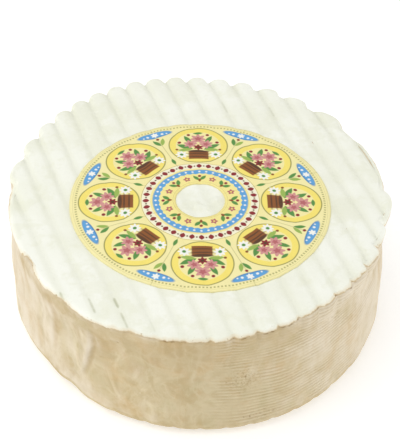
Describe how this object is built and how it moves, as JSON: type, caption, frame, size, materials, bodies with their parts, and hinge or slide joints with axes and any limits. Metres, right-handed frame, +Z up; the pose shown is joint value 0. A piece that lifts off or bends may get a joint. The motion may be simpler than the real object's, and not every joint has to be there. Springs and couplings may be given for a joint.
{
  "type": "goat brie",
  "caption": "Round wheel of soft goat brie with a ridged white top, a tan side wall and a printed paper ring on top.",
  "frame": {"origin": "middle of the underside, on the surface that the wheel stands on", "axes": "+Z up through the wheel's axis, +X to the right and +Y away from the side that the picture shows"},
  "size_m": [0.173, 0.1728, 0.0656],
  "materials": {
    "rind": "matt bloomy rind: velvety white on the flat sides, tan where the bloom is thin on the side wall",
    "paper": "uncoated pale yellow paper with printed fields of blue, yellow, brown and green"
  },
  "bodies": {
    "root": {"cheese_wheel": "rind", "paper_label": "paper"}
  },
  "joints": []
}
